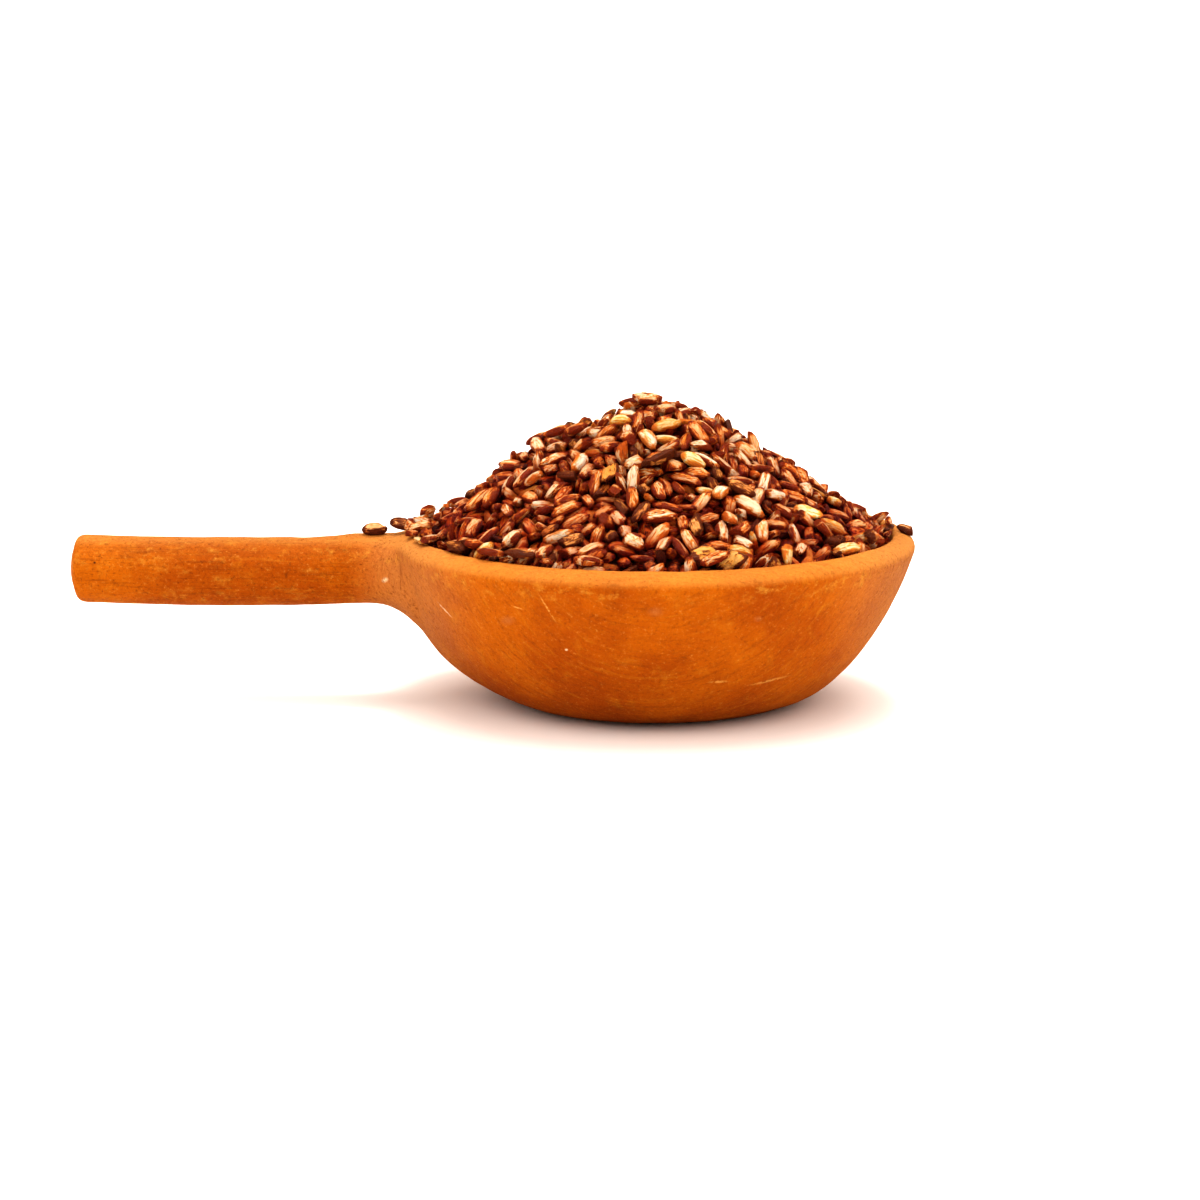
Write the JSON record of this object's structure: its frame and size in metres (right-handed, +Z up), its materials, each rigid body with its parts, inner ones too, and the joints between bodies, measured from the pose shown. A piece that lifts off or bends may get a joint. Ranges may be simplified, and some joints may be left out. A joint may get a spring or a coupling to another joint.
{
  "type": "bowl of red rice",
  "caption": "Round fired-clay bowl with a straight round handle, heaped above its rim with uncooked red rice.",
  "frame": {"origin": "centre of the bowl's flat base, on the table", "axes": "+Z up along the bowl's axis; the handle runs from the bowl along -X"},
  "size_m": [0.1463, 0.0898, 0.0518],
  "materials": {
    "clay": "matte",
    "rice": "satin"
  },
  "bodies": {
    "root": {"clay_ladle": "clay", "rice_heap": "rice"}
  },
  "joints": []
}
